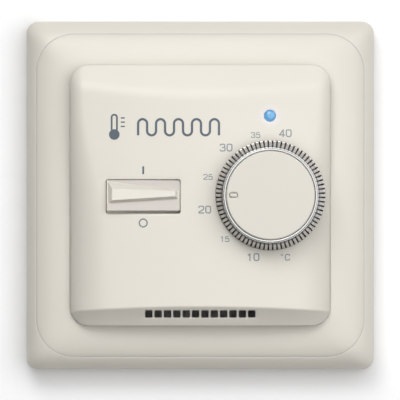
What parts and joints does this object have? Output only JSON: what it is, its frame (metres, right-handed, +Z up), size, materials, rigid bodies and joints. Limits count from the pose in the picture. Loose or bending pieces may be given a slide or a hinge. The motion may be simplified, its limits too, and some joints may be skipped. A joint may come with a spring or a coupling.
{
  "type": "wall thermostat",
  "caption": "Square flush-mounted wall thermostat with a rocker switch, a toothed temperature knob, an indicator light and a row of air vents.",
  "frame": {"origin": "centre of the back of the square frame, on the wall", "axes": "+Y into the wall, -Y out towards the room, +Z up, +X to the right as seen from the room"},
  "size_m": [0.082, 0.05, 0.082],
  "materials": {
    "ivory_plastic": "fine satin moulding",
    "bright_ring": "polished",
    "satin_metal": "satin plated teeth",
    "light_window": "clear tinted, lit from behind",
    "grey_plastic": "moulded",
    "white_plastic": "moulded",
    "circuit_board": "solder mask",
    "zinc_steel": "zinc plated",
    "green_plastic": "moulded",
    "black_plastic": "moulded",
    "yellow_epoxy": "moulded box",
    "dark_sleeve": "shrink sleeve",
    "blue_epoxy": "dipped coating",
    "blue_lens": "clear lens",
    "carbon_film": "printed film",
    "tinned_brass": "tinned",
    "brass_contact": "stamped",
    "spring_steel": "drawn wire",
    "blue_plastic": "moulded",
    "red_plastic": "moulded"
  },
  "bodies": {
    "base": {"trim_frame": "ivory_plastic", "front_cover": "ivory_plastic", "chassis": "grey_plastic", "rear_housing": "white_plastic", "main_board": "circuit_board", "board_screws": "zinc_steel", "cover_screw": "zinc_steel", "terminal_block": "green_plastic", "terminal_clamps": "zinc_steel", "terminal_screws": "zinc_steel", "relay": "black_plastic", "film_capacitor": "yellow_epoxy", "electrolytic_capacitor": "dark_sleeve", "varistor": "blue_epoxy", "fuse": "black_plastic", "rectifier_diodes": "black_plastic", "power_resistor": "blue_epoxy", "control_chip": "black_plastic", "indicator_led": "blue_lens", "light_guide": "light_window", "air_sensor": "black_plastic", "potentiometer_body": "black_plastic", "potentiometer_base": "black_plastic", "potentiometer_track": "carbon_film", "potentiometer_pins": "tinned_brass", "minimum_limit_ring": "blue_plastic", "maximum_limit_ring": "red_plastic", "switch_body": "black_plastic", "switch_terminals": "brass_contact"},
    "knob": {"knob_body": "ivory_plastic", "knob_bezel": "bright_ring", "knob_grip": "satin_metal", "potentiometer_shaft": "white_plastic", "potentiometer_wiper": "tinned_brass"},
    "rocker": {"rocker": "ivory_plastic", "rocker_plungers": "white_plastic", "plunger_springs": "spring_steel"},
    "levers": {"contact_levers": "brass_contact"}
  },
  "joints": [
    {"name": "knob_turn", "type": "hinge", "parent": "base", "child": "knob", "pos_m": [0.0165, -0.0209, 0], "axis": [0, 1, 0], "range_deg": [-105, 105]},
    {"name": "rocker_tilt", "type": "hinge", "parent": "base", "child": "rocker", "pos_m": [-0.0134, -0.0172, -0.0003], "axis": [1, 0, 0], "range_deg": [0, 12]},
    {"name": "contact_tilt", "type": "hinge", "parent": "base", "child": "levers", "pos_m": [-0.0134, -0.0066, -0.0003], "axis": [1, 0, 0], "range_deg": [-10, 0]}
  ],
  "couplings": [
    {"joint": "contact_tilt", "follows": "rocker_tilt", "ratio": -0.8333}
  ]
}
